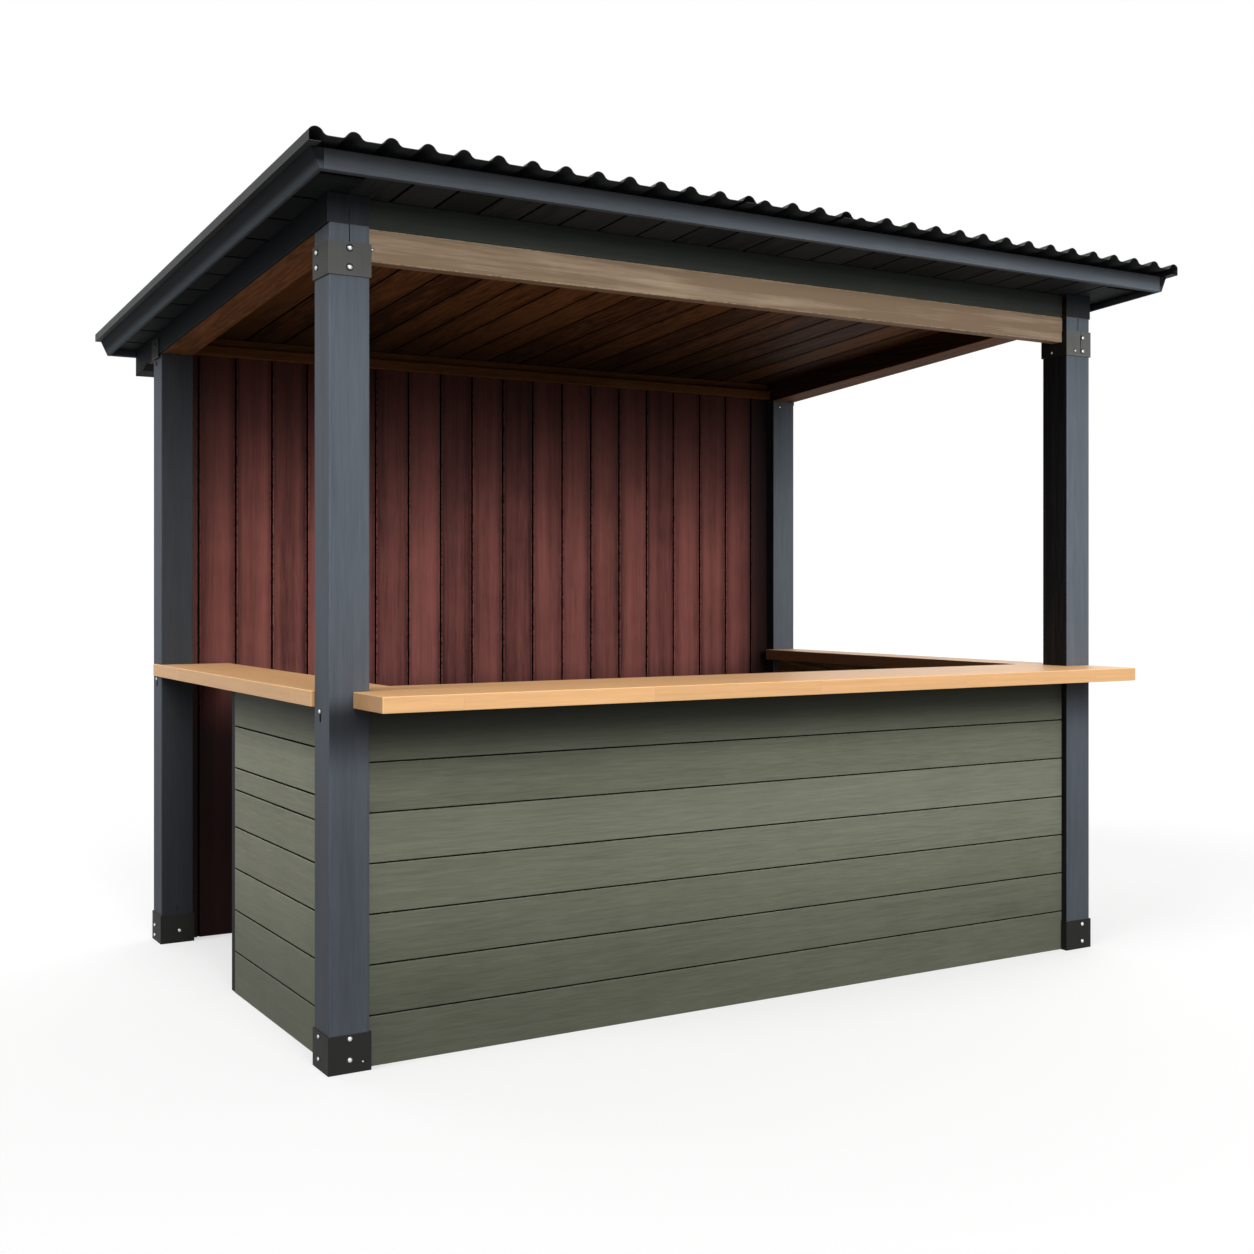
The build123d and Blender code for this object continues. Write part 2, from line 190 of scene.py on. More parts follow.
# %% Lamps
def sun(name, azimuth, elevation, strength, disc):
    """A distant lamp: azimuth 0 is in front of the bar, 90 at its left and 180 behind it."""
    lamp = bpy.data.lights.new(name, "SUN")
    lamp.energy = strength
    lamp.angle = math.radians(disc)
    turn = (math.radians(90 - elevation), 0, -math.radians(azimuth))
    add_object(name, lamp).rotation_euler = turn


sun("key_light", azimuth=0, elevation=12, strength=1.8, disc=22)
sun("upper_light", azimuth=20, elevation=50, strength=0.8, disc=30)
sun("left_light", azimuth=80, elevation=40, strength=1.2, disc=30)
sun("right_light", azimuth=245, elevation=38, strength=0.8, disc=60)
sun("back_light", azimuth=175, elevation=35, strength=0.5, disc=60)
print(len(bpy.data.lights), "lamps")

# %% Floor
floor_reach = 40.0
bounce_level = 0.18
keeper_level = 0.50
floor_glow = 0.52
floor_mesh = bmesh.new()
bmesh.ops.create_grid(floor_mesh, x_segments=1, y_segments=1, size=floor_reach)
floor_data = bpy.data.meshes.new("floor")
floor_mesh.to_mesh(floor_data)
floor_mesh.free()
floor = add_object("floor", floor_data)

paper = bpy.data.materials.new("floor_paper")
paper.use_nodes = True
paper.node_tree.nodes.remove(paper.node_tree.nodes["Principled BSDF"])
bounce = Field(paper.node_tree.nodes.new("ShaderNodeBsdfDiffuse").outputs[0])
plug(bounce.socket.node.inputs["Color"], grey(bounce_level))
shadow_keeper = bounce.node("ShaderNodeBsdfDiffuse", {}, {"Color": grey(keeper_level)})
glow = bounce.node("ShaderNodeEmission", {}, {"Color": white, "Strength": floor_glow})
shown = bounce.node("ShaderNodeAddShader", {}, {0: shadow_keeper, 1: glow})
surface = bounce.node("ShaderNodeMixShader", {}, {0: seen_or_mirrored(bounce), 1: bounce, 2: shown})
plug(paper.node_tree.nodes["Material Output"].inputs["Surface"], surface)
floor_data.materials.append(paper)
print("floor", 2 * floor_reach, "m across")


# %% [markdown]
# ## Stained wood
#
# Stain lets the grain show through. From a few steps away that is several things at once: broad
# bands where a board took more stain, narrower streaks, short dark marks, the flowing lines of
# the year rings and a faint cloudiness. Each is a pattern in Object coordinates, drawn out along
# the grain, and a dictionary says how much of each a stain has. Each board carries a number of
# its own in the attribute "board", which shifts the patterns and the tone, so no two boards are
# alike. The attribute "across" runs over a board's face, so that its rims can take a painted
# shade, as a cupped board has. The attribute "edge" marks the planed arrises, where stain wears
# first and where boards also get a painted highlight, and faces square to the grain show end
# grain. A zone is a stretch along one axis where wood is painted darker: painted shade near the
# ground, under a counter or a roof sheet and near the posts, deeper than the lamps give, and in a
# few places darker towards the left.

# %% Helpers for finishes
def linear(red, green, blue):
    """A colour given as it looks on a screen, 0 to 255, in the linear values that shaders use."""
    parts = [value / 255 for value in (red, green, blue)]
    return tuple(p / 12.92 if p < 0.04045 else ((p + 0.055) / 1.055) ** 2.4 for p in parts) + (1.0,)


def shaded(colour, amount):
    """The same colour, darker below 1 and lighter above."""
    return tuple(min(1.0, value * amount) for value in colour[:3]) + (1.0,)


def new_finish(name):
    """A material, its shader, and the Object coordinates as a field to build on."""
    material = bpy.data.materials.new(name)
    material.use_nodes = True
    shader = material.node_tree.nodes["Principled BSDF"]
    return material, shader, Field(shader.outputs[0]).node("ShaderNodeTexCoord", output="Object")


def finish_with(shader, colour, roughness, relief, sheen):
    """Puts fields and values on the shader's own sockets."""
    plug(shader.inputs["Base Color"], colour)
    plug(shader.inputs["Roughness"], roughness)
    plug(shader.inputs["Normal"], relief)
    plug(shader.inputs["Specular IOR Level"], sheen)


def relief_from(height, strength, depth):
    """A bump from a field of heights. The depth is in metres."""
    inputs = {"Strength": strength, "Distance": depth, "Height": height}
    return height.node("ShaderNodeBump", {}, inputs)


def stretched(place, scale):
    """Coordinates multiplied by a scale for each axis."""
    return place.node("ShaderNodeMapping", {}, {"Vector": place, "Scale": scale})


def noise(place, detail, roughness, size=1.0):
    """A cloudy pattern from 0 to 1, mostly near a half."""
    inputs = {"Vector": place, "Scale": size, "Detail": detail, "Roughness": roughness}
    return place.node("ShaderNodeTexNoise", {}, inputs)


def drawn_out(place, grain, length, width, detail=2.0, roughness=0.6):
    """A pattern whose marks are length by width metres, drawn out along the grain."""
    scale = [1 / length if axis == grain else 1 / width for axis in "XYZ"]
    return noise(stretched(place, scale), detail, roughness)


def attribute(place, name):
    """A number that the mesh carries under this name."""
    return place.node("ShaderNodeAttribute", {"attribute_name": name}, output="Fac")


def coordinates(place):
    """The three coordinates of a place, each as a field."""
    apart = place.node("ShaderNodeSeparateXYZ", {}, {0: place}).socket.node
    return {axis: Field(apart.outputs[axis]) for axis in "XYZ"}


# %% Helpers for grain
board_shift = (17.3, 23.9, 31.7)


def shifted(place, number):
    """Coordinates moved by a board's own number, so that each board has its own grain."""
    parts = {0: number, 1: board_shift, 2: place}
    return place.node("ShaderNodeVectorMath", {"operation": "MULTIPLY_ADD"}, parts)


def facing(place, axis):
    """1 where a face looks along an axis, -1 where it looks the other way."""
    return coordinates(place.node("ShaderNodeTexCoord", output="Normal"))[axis]


def end_grain(place, grain):
    """1 on faces that are square to the grain."""
    along = facing(place, grain)
    return along.maths("ABSOLUTE", along).ramp(0.8, 0.95)


def year_rings(own, grain, lines):
    """Flowing lines: the contours of a slow pattern that is drawn out along the grain."""
    slope = drawn_out(own, grain, 1.3, 0.07, 1.0, 0.4) * lines
    return slope.maths("SINE", slope) * 0.5 + 0.5


# %% Zones
def fading(along, full, none):
    """1 at one height or place and beyond it, and 0 from another on."""
    rising = along.ramp(min(full, none), max(full, none))
    return rising if full > none else 1 - rising


def zoned(place, body, zones, lean):
    """Zones: the axis, where it is dark, where no longer, how dark, and both for the other side.

    With a lean, heights are counted from a slope that falls to the back.
    """
    along = coordinates(place)
    along["Z"] = along["Z"] + along["Y"] * lean
    for axis, full, none, strength, *other_side in zones:
        zone = fading(along[axis], full, none)
        if other_side:
            zone = zone * fading(along[axis], *other_side)
        # A zone paints the wood darker; most zones stand in for shade.
        body = (zone * strength).between(body, (0.0, 0.0, 0.0, 1.0))
    return body


# %% Wood
wood_roughness = 0.66
plain_grain = {
    "bands": 0.6, "streaks": 0.8, "marks": 0.6, "rings": 0.2, "clouds": 0.4, "boards": 0.5, "rims": 0.0
}


def wood(name, dark, light, grain, sheen=0.12, worn=0.25, zones=(), lean=0.0, reach=0.8, **changes):
    """Wood with its grain along one axis, between two tones, and painted darker in some zones.

    reach is the length of the broad bands, and the changes are other shares of the patterns.
    """
    amount = {**plain_grain, **changes}
    material, shader, place = new_finish(name)
    board = attribute(place, "board")
    own = shifted(place, board)
    marks = drawn_out(own, grain, 0.09, 0.004)
    streaks = drawn_out(own, grain, 0.40, 0.013, 3.0)
    rings = year_rings(own, grain, 60.0)
    patterns = {"marks": marks, "streaks": streaks, "rings": rings, "boards": board}
    patterns["bands"] = drawn_out(own, grain, reach, 0.045, 2.0, 0.5)
    patterns["clouds"] = noise(own, 3.0, 0.6, 4.0)
    across = attribute(place, "across")
    # The rims of a board are painted darker than its middle: painted shade of a cupped board.
    patterns["rims"] = 0.5 - (across * across).ramp(0.1, 1.1) * 0.5
    tone = 0.5
    for kind, pattern in patterns.items():
        tone = tone + (pattern - 0.5) * (2 * amount[kind])
    body = tone.between(dark, light)
    # Lighter arrises: wear, and on the boards also a painted highlight where an arris catches light.
    wear_and_highlight_edge = attribute(place, "edge") * noise(own, 3.0, 0.6, 60.0).ramp(0.35, 0.6) * worn
    body = wear_and_highlight_edge.between(body, shaded(light, 1.7))
    body = (end_grain(place, grain) * (0.35 + marks * 0.5)).between(body, shaded(dark, 0.7))
    body = zoned(place, body, zones, lean)
    relief = relief_from(marks * 0.6 + rings * 0.2 + streaks * 0.4, 0.3, 0.001)
    roughness = wood_roughness + (marks - 0.5) * 0.16 + (streaks - 0.5) * 0.12
    finish_with(shader, body, roughness, relief, sheen)
    return material


# %% [markdown]
# The bar is stained blue-grey on the frame and the fascias, green on the lower boards, red on the
# back wall and brown on the ceiling and inside the plates. The soffits are nearly black, and the
# front beam is a bare, weathered tan. The outside of the side plates and the inner faces of the
# right posts are painted nearly black as shade. Mixing each from the photograph's own tones is
# simple; the work is in the places where one stain looks different there from face to face. Those
# get a version of the stain with other tones or zones, and these paint light or shade in. A finish
# is made once for each direction its grain runs in.

# %% Stains
def stain(name, dark, light, axes, **look):
    """The same stain for each direction that its grain runs in."""
    tones = linear(*dark), linear(*light)
    return {axis: wood(name + "_" + axis, *tones, axis, **look) for axis in axes}


# %% How lively the patterns are
still = {"bands": 0.3, "streaks": 0.4, "marks": 0.4, "rings": 0.04, "clouds": 0.2, "boards": 0.2}
faded = {"bands": 0.15, "streaks": 0.28, "marks": 0.45, "rings": 0.04, "clouds": 0.2, "boards": 0.2}
lively = {"bands": 0.5, "streaks": 0.22, "marks": 0.25, "rings": 0.03, "clouds": 0.3}
# The rims share is painted shade at the rims of each board.
lively.update({"boards": 0.22, "rims": 0.45})
calm = {"bands": 0.35, "streaks": 0.35, "marks": 0.3, "rings": 0.05, "clouds": 0.3}
weathered = {"bands": 1.0, "streaks": 0.6, "marks": 0.3, "rings": 0.05, "clouds": 0.4}

# %% Stains of the frame
# Painted shade towards the ground, and the posts darker towards the left.
low_shade_darker_left = [("Z", 0.25, 1.50, 0.46), ("X", -1.50, 1.30, 0.22)]
low_shade = [("Z", 0.0, 1.2, 0.50)]
# Painted shadow of the counter on the front posts' fronts, below and just above it.
counter_shadow = [("Z", 0.97, 0.81, 0.78, 0.99, 1.07)]
blue_grey = (88, 95, 103), (113, 120, 130)
post_look = {"worn": 0.1, **still}
post_stain = stain("blue_grey", *blue_grey, "Z", zones=low_shade_darker_left, **post_look)
post_front = stain("post_front", *blue_grey, "Z", zones=low_shade_darker_left + counter_shadow, **post_look)
# A darker copy of the blue-grey for the rear left post's front: painted shade.
shaded_stain = stain("shaded_stain", (50, 53, 57), (66, 69, 74), "Z", zones=low_shade, **still)
# Nearly black: painted shade on the right posts' inner faces and on the stud's outer face.
black_shade = stain("black_shade", (26, 26, 27), (42, 42, 44), "Z", sheen=0.06)
# Painted shade on the side plates' blue-grey: nearly black outside, lighter at the front end.
plate_shade = stain("plate_shade", (22, 24, 27), (34, 36, 39), "Y", sheen=0.03, **still)
plate_end = stain("plate_end", (34, 37, 41), (50, 54, 59), "Z", **still)
# Brown inside the plates: a lit copy with painted light, and a darker one with painted shade.
lit_brown = stain("lit_brown", (90, 60, 38), (146, 102, 70), "Y", sheen=0.05, streaks=0.5, bands=0.4)
shaded_brown = stain("shaded_brown", (30, 18, 11), (58, 37, 24), "Y", sheen=0.05)
brown_timber = stain("brown", (62, 38, 20), (128, 84, 50), "X", sheen=0.05, **lively)
front_plate_stain = stain("front_plate_stain", (44, 47, 43), (64, 68, 62), "X", **calm)
natural_beam = stain("natural_beam", (142, 120, 97), (194, 171, 145), "X", **weathered)
frame_timber = stain("frame_timber", (74, 54, 36), (122, 94, 66), "XYZ", rings=0.3, boards=0.7)

# %% Stains of the fascias
roof_fall = math.tan(math.radians(3.75))
# Painted shade under the verge, on the side fascias.
under_the_verge = [("Z", 2.394, 2.372, 0.88)]
# Painted shade under the sheets on the front and back fascias, and darker towards the left.
under_the_sheet = [("Z", 2.423, 2.360, 0.93), ("X", -1.40, 0.90, 0.40)]
side_fascia_look = {"zones": under_the_verge, "lean": roof_fall, "sheen": 0.03, **still}
side_fascia_stain = stain("side_fascia", (66, 72, 77), (88, 95, 101), "Y", **side_fascia_look)
end_fascia_look = {"zones": under_the_sheet, "lean": roof_fall, **still}
end_fascia_stain = stain("end_fascia", (88, 94, 101), (110, 117, 126), "X", **end_fascia_look)
print(len(bpy.data.materials), "finishes so far")

# %% Stains of the boards
# Painted shade near the ground and under the counter, and darker towards the left.
front_board_darkening = [("Z", 0.05, 0.60, 0.40), ("Z", 0.96, 0.79, 0.88), ("X", -1.40, 0.60, 0.22)]
# Painted shade near the ground and under the side counters.
side_board_shade = [("Z", 0.05, 0.60, 0.48), ("Z", 0.99, 0.82, 0.80)]
# Painted shade on the wall: below the counter's height and towards the roof.
below_and_above = [("Z", 0.75, 1.05, 0.90), ("Z", 2.30, 1.30, 0.60)]
# Painted shade on the wall near the posts.
towards_the_posts = [("X", -1.45, -1.05, 0.38), ("X", 1.34, 1.20, 0.93)]
away_from_light = [("Y", 0.95, -0.45, 0.82), ("X", -1.4, -0.9, 0.3)]
green_look = {"worn": 0.35, **faded}
green_front = stain("green_front", (100, 103, 87), (134, 137, 120), "X", zones=front_board_darkening, **green_look)
# A lighter copy of the green for the side boards: painted light.
lit_green = (114, 116, 99), (152, 154, 136)
green_sides = stain("green_sides", *lit_green, "Y", zones=side_board_shade, **green_look)
red = (68, 35, 33), (150, 89, 82)
wall_look = {"zones": below_and_above + towards_the_posts, "worn": 0.45, **lively}
red_boards = stain("red", *red, "Z", reach=2.4, **wall_look)
red_outside = stain("red_outside", *red, "Z", reach=2.4, **lively)
ceiling_look = {"sheen": 0.04, "boards": 0.5, "rims": 0.4, "zones": away_from_light}
ceiling_stain = stain("ceiling_stain", (62, 38, 21), (130, 87, 53), "Y", **ceiling_look)
dark_soffit = stain("dark_soffit", (32, 34, 35), (52, 54, 55), "XY", sheen=0.05, boards=0.8)
# A darker copy of the soffit stain for the side soffits: painted shade.
shaded_side_soffit = stain("side_soffit", (22, 24, 25), (38, 40, 41), "X", sheen=0.04, boards=0.8)
# Nearly black for the faces in the gaps, slots and checks: painted shade.
gap_shade = stain("gap_shade", (12, 11, 10), (24, 22, 20), "XYZ", sheen=0.0)
green_gap_shade = stain("green_gap_shade", (24, 27, 21), (40, 43, 35), "XY", sheen=0.0)
print(len(bpy.data.materials), "finishes so far")

# %% [markdown]
# ## Counter wood
#
# The counters are glued up from narrow staves, oiled a warm honey. They could be modelled stave
# by stave, but glued joints are flush, so a pattern will do: rows across the grain, cut into
# lengths that are offset from row to row. The numbers of the row and of the length in it are
# hashed to give each stave its own tone. The joints are hair lines, the tops are painted lighter
# than the edges as painted light, and the arrises are sanded round and get a painted highlight.
# The photograph shows the inner edge of the right counter nearly brown, so a darker copy of the
# oil paints that shade in.


# %% Staves
stave_width = 0.041
stave_length = 0.62
row_joint = 0.488
butt_joint = 0.4985


def joint(within, start):
    """1 at the end of a stave, where a place within it, from 0 to 1, is this far off the middle."""
    return within.maths("ABSOLUTE", within - 0.5).ramp(start, 0.5)


def staves(name, colour, grain):
    """Oiled staves along X or Y, in rows across the counter's top."""
    material, shader, place = new_finish(name)
    axes = coordinates(place)
    row_place = axes["Y" if grain == "X" else "X"] / stave_width
    row = row_place.maths("FLOOR", row_place)
    offset = place.node("ShaderNodeTexWhiteNoise", {"noise_dimensions": "1D"}, {"W": row})
    length_place = axes[grain] / stave_length + offset
    length = length_place.maths("FLOOR", length_place)
    key = place.node("ShaderNodeCombineXYZ", {}, {"X": row, "Y": length, "Z": 0.5})
    own_tone = place.node("ShaderNodeTexWhiteNoise", {"noise_dimensions": "3D"}, {"Vector": key})
    own = shifted(place, own_tone)
    streak = drawn_out(own, grain, 0.5, 0.012, 3.0)
    mark = drawn_out(own, grain, 0.07, 0.003)
    ring = year_rings(own, grain, 50.0)
    tone = 0.5 + (own_tone - 0.5) * 0.35 + (streak - 0.5) * 0.8
    tone = tone + (ring - 0.5) * 0.10 + (mark - 0.5) * 0.6
    # Faces that look up are painted lighter: painted light.
    tone = tone + facing(place, "Z").ramp(0.5, 0.9) * 0.5
    body = tone.between(shaded(colour, 0.78), shaded(colour, 1.10))
    seam = joint(row_place - row, row_joint)
    butt = joint(length_place - length, butt_joint)
    body = (seam.maths("MAXIMUM", seam, butt) * 0.3).between(body, shaded(colour, 0.45))
    # Arrises painted lighter: a painted highlight.
    body = (attribute(place, "edge") * 0.7).between(body, shaded(colour, 1.30))
    body = (end_grain(place, grain) * (0.3 + mark * 0.5)).between(body, shaded(colour, 0.5))
    relief = relief_from(mark * 0.5 + streak * 0.3 - seam * 0.6, 0.2, 0.0008)
    roughness = 0.42 + (mark - 0.5) * 0.16 + (streak - 0.5) * 0.2
    finish_with(shader, body, roughness, relief, 0.18)
    return material


honey = linear(236, 184, 130)
counter_wood = {axis: staves("counter_wood_" + axis, honey, axis) for axis in "XY"}
# A darker copy of the oil for the right counter's inner edge: painted shade.
shaded_honey = staves("counter_wood_dark", linear(120, 84, 54), "Y")
print(len(bpy.data.materials), "finishes so far")

# %% [markdown]
# ## Metals
#
# The brackets are folded steel plate, powder coated, with the fine orange peel of the coat. The
# feet are nearly black. The heads are mid grey and look brushed; the photograph shows the right
# one lighter than the left, and the left one's side darker, so each has its own coat: a lighter
# copy with painted light on the right head and a darker one with painted shade on the left's
# side. Bolts are zinc plated over dark washers. The roof sheets have a factory paint, almost
# black, with a little dust in patches.


# %% Coated steel, zinc and roof sheet
even_peel = (700.0, 700.0, 700.0)
brushed_down = (450.0, 450.0, 9.0)


def coated(name, colour, rough, peel_scale=even_peel, sheen=0.12, dust=0.0):
    """Painted or powder-coated steel: a fine peel, soft clouds, rubbed edges and a little dust."""
    material, shader, place = new_finish(name)
    peel = noise(stretched(place, peel_scale), 2.0, 0.5)
    cloud = noise(place, 3.0, 0.6, 6.0)
    tone = 0.5 + (cloud - 0.5) * 1.2 + (peel - 0.5) * 0.8
    body = tone.between(shaded(colour, 0.82), shaded(colour, 1.2))
    rubbed = attribute(place, "edge") * noise(place, 3.0, 0.6, 90.0).ramp(0.4, 0.6) * 0.25
    body = rubbed.between(body, shaded(colour, 2.2))
    body = (cloud.ramp(0.45, 0.75) * dust).between(body, linear(120, 116, 108))
    roughness = rough + (cloud - 0.5) * 0.25 + (peel - 0.5) * 0.1
    finish_with(shader, body, roughness, relief_from(peel, 0.25, 0.0005), sheen)
    return material


foot_steel = coated("foot_steel", linear(36, 36, 35), 0.55, sheen=0.08)
head_steel = coated("head_steel", linear(87, 87, 85), 0.55, brushed_down)
# Darker and lighter copies of the head coat: painted shade and painted light.
head_painted_shade = coated("head_painted_shade", linear(62, 62, 60), 0.55, brushed_down)
head_painted_light = coated("head_painted_light", linear(106, 107, 105), 0.55, brushed_down)
roof_paint = coated("roof_paint", linear(70, 72, 73), 0.5, sheen=0.03, dust=0.05)
washer_steel = coated("washer_steel", linear(44, 44, 43), 0.5, sheen=0.1)


# %% Zinc
bolt_zinc, shader, place = new_finish("bolt_zinc")
bloom = noise(place, 3.0, 0.6, 900.0)
plug(shader.inputs["Base Color"], bloom.between(linear(168, 171, 174), linear(214, 216, 218)))
plug(shader.inputs["Roughness"], 0.24 + bloom * 0.2)
plug(shader.inputs["Metallic"], 0.9)
print(len(bpy.data.materials), "finishes in all")

# %% [markdown]
# ## From a CAD node to a dressed piece
#
# Sawn timber and folded steel never have knife edges: a rounded arris of a few millimetres is
# what makes them look solid, because it catches the light. A CAD node may not be changed, so a
# copy of its mesh is merged, its flat faces are joined, and the long outer edges are bevelled.
# The piece then replaces the node. The faces that the bevel makes are marked in "edge".


# %% Helpers for pieces
tones = random.Random(7)
merge_distance = 1e-5
flat_angle = 0.01
corner_angle = math.radians(30)
smooth_angle = math.radians(40)


def new_mesh():
    """An empty mesh with places for the numbers that the finishes read."""
    mesh = bmesh.new()
    mesh.faces.layers.float.new("board")
    mesh.faces.layers.float.new("edge")
    mesh.verts.layers.float.new("across")
    return mesh


def set_tone(mesh, tone):
    """Gives every face that has no tone yet the same one: they belong to one board."""
    layer = mesh.faces.layers.float["board"]
    for face in mesh.faces:
        if face[layer] == 0:
            face[layer] = tone


def next_tone():
    """The number of the next board."""
    return tones.uniform(0.05, 0.95)


def round_edges(mesh, edges, radius):
    """Bevels edges and marks the faces that this makes."""
    layer = mesh.faces.layers.float["edge"]
    shape = {"offset": radius, "segments": 2, "profile": 0.5, "affect": "EDGES", "material": -1}
    made = bmesh.ops.bevel(mesh, geom=edges, clamp_overlap=True, **shape)
    for face in made["faces"]:
        face[layer] = 1.0


def piece(name, mesh, materials, slot, *replaced, smooth=False):
    """Makes an object of a finished mesh, on the one body of the bar."""
    bmesh.ops.recalc_face_normals(mesh, faces=mesh.faces[:])
    data = bpy.data.meshes.new(name)
    mesh.to_mesh(data)
    mesh.free()
    for material in materials:
        data.materials.append(material)
    if smooth:
        data.shade_smooth()
        data.set_sharp_from_angle(angle=smooth_angle)
    made = add_object(name, data)
    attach(made, "root")
    if replaced:
        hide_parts(*replaced)
    return made


def merged_copy(node):
    """The node's mesh with its loose triangles merged and its flat faces joined."""
    mesh = new_mesh()
    mesh.from_mesh(nodes[node].data)
    bmesh.ops.remove_doubles(mesh, verts=mesh.verts[:], dist=merge_distance)
    bmesh.ops.dissolve_limit(mesh, angle_limit=flat_angle, verts=mesh.verts[:], edges=mesh.edges[:])
    return mesh


def arrises(mesh, shortest):
    """The outer edges, at least this long, where two faces meet at a clear angle."""
    found = []
    for edge in mesh.edges:
        if len(edge.link_faces) == 2 and edge.calc_length() >= shortest:
            if edge.calc_face_angle_signed() > corner_angle:
                found.append(edge)
    return found


def cut_along(mesh, x):
    """Splits the faces that a plane square to X crosses, so that each side can be painted."""
    whole = mesh.verts[:] + mesh.edges[:] + mesh.faces[:]
    bmesh.ops.bisect_plane(mesh, geom=whole, plane_co=(x, 0, 0), plane_no=(1, 0, 0))


def dressed(node, materials, slot, radius=0.003, shortest=0.02, paint=None, cuts=()):
    """A dressed copy of a CAD node. paint gives each face the number of its material."""
    mesh = merged_copy(node)
    for x in cuts:
        cut_along(mesh, x)
    round_edges(mesh, arrises(mesh, shortest), radius)
    for face in mesh.faces:
        face.material_index = paint(face) if paint else 0
        face.smooth = False
    set_tone(mesh, next_tone())
    made = piece(node + "_dressed", mesh, materials, slot, node)
    print(made.name, len(made.data.polygons), "faces")
    return made


# %% [markdown]
# ## Posts and side plates
#
# The posts are planed square timber, stained blue-grey. The photograph has some of their faces
# darker, so a function picks each face's stain, and these stains paint the shade in: the front
# posts' fronts get a painted shadow under the counter, the rear left post's whole front is
# painted darker, and the right posts' faces towards the inside are painted nearly black. The side
# plates are painted nearly black outside as shade, a little lighter at the front end, and brown
# underneath and inside, but not on the tail that runs out behind the rear post. That brown has
# painted light on the left and underneath and painted shade on the right's inner face.

# %% Posts
def front_paint(face):
    return 1 if face.normal.y < -0.5 else 0


# The inner face of a right post takes the nearly black painted shade.
def right_post_paint(face):
    return 2 if face.normal.x < -0.5 else front_paint(face)


plain, black = post_stain["Z"], black_shade["Z"]
posts = [
    ("front_left", [plain, post_front["Z"]], front_paint),
    ("front_right", [plain, post_front["Z"], black], right_post_paint),
    ("back_right", [plain, plain, black], right_post_paint),
    ("back_left", [plain, shaded_stain["Z"]], front_paint),
]
for name, stains, paint in posts:
    dressed("post_" + name, stains, "blue_grey_timber", 0.004, 0.1, paint)

# %% Side plates
post_outside = 1.497
tail_start = 0.9


def plate_paint(face):
    """3 at the front end, 1 or 2 on the left and right inner faces, 1 underneath, 0 elsewhere."""
    centre = face.calc_center_median()
    if face.normal.y < -0.5:
        return 3
    if centre.y > tail_start:
        return 0
    if abs(face.normal.x) > 0.5 and face.normal.x * centre.x < 0:
        return 1 if centre.x < 0 else 2
    return 1 if face.normal.z < -0.5 and abs(centre.x) < post_outside else 0


plate_stains = [plate_shade["Y"], lit_brown["Y"], shaded_brown["Y"], plate_end["Z"]]
for side, cut in (("left", -post_outside), ("right", post_outside)):
    dressed("side_plate_" + side, plate_stains, "blue_grey_timber", paint=plate_paint, cuts=[cut])

# %% [markdown]
# ## Cross members and fascias
#
# The front beam is bare, weathered wood under a dark plate. The rear plate and its cover rail
# are brown. The stud where the left boards end is blue-grey, with its outer face painted nearly
# black as shade. The fascias that close the roof's edge are wedges, blue-grey, with painted shade
# towards the sheets, and the front and back ones are darker towards the left too.

# %% Cross members and fascias
def black_outside(face):
    """The outer face only, painted nearly black as shade: the rounded arrises beside it stay light."""
    return 1 if face.normal.x < -0.99 else 0


dressed("front_beam", [natural_beam["X"]], "natural_beam", 0.004)
dressed("front_plate", [front_plate_stain["X"]], "dark_soffit", 0.004)
dressed("rear_plate", [brown_timber["X"]], "brown_timber")
dressed("back_rail", [brown_timber["X"]], "brown_timber")
dressed("left_end_stud", [plain, black], "blue_grey_timber", 0.004, paint=black_outside)
for side in ("front", "back"):
    dressed("fascia_" + side, [end_fascia_stain["X"]], "blue_grey_timber", 0.002)
for side in ("left", "right"):
    dressed("fascia_" + side, [side_fascia_stain["Y"]], "blue_grey_timber", 0.002)

# %% [markdown]
# ## Brackets
#
# Each foot stands in a folded steel shoe, a steel band ties each front post's head, and a strap
# each rear one. Plate this thin has only a small radius at its bends, so a bevel of about a
# millimetre is enough.

# %% Brackets
def head_paint(face):
    """2 on the left head's side, 1 on the right head's inner side and on the lower rims: painted
    shade.
    """
    if face.normal.x < -0.5:
        return 2 if face.calc_center_median().x < 0 else 1
    return 1 if face.normal.z < -0.5 else 0


bend = (0.0012, 0.02)
for side, coat in (("left", head_steel), ("right", head_painted_light)):
    for end in ("front", "back"):
        dressed(f"foot_bracket_{end}_{side}", [foot_steel], "foot_steel", *bend)
    front_coats = [coat, foot_steel, head_painted_shade]
    dressed(f"head_bracket_front_{side}", front_coats, "head_steel", *bend, head_paint)
    dressed(f"head_bracket_back_{side}", [foot_steel], "head_steel", *bend)

# %% [markdown]
# ## Boards
#
# The lower sides, the back wall, the ceiling and the soffits are tongued boards. One board is a
# section of a dozen points, with a tongue on one side and a groove on the other, extruded to
# its length; its two visible arrises are rounded. The gap that is left between two faces shows
# the next board's tongue in shadow, which a groove in a flat slab can't do. The faces in the gap
# get a finish of their own, nearly black: a painted shade. A field of boards is laid out
# flat first, with its length along X, its depth along Y and its boards side by side along Z, and
# one matrix then puts it in its place.

# %% One board
board_thickness = 0.020
board_back = board_thickness * 0.99
hair = 0.0001
tongue_front = 0.012
tongue_back = 0.016
tongue_play = 0.0003
tongue_reach = 0.006


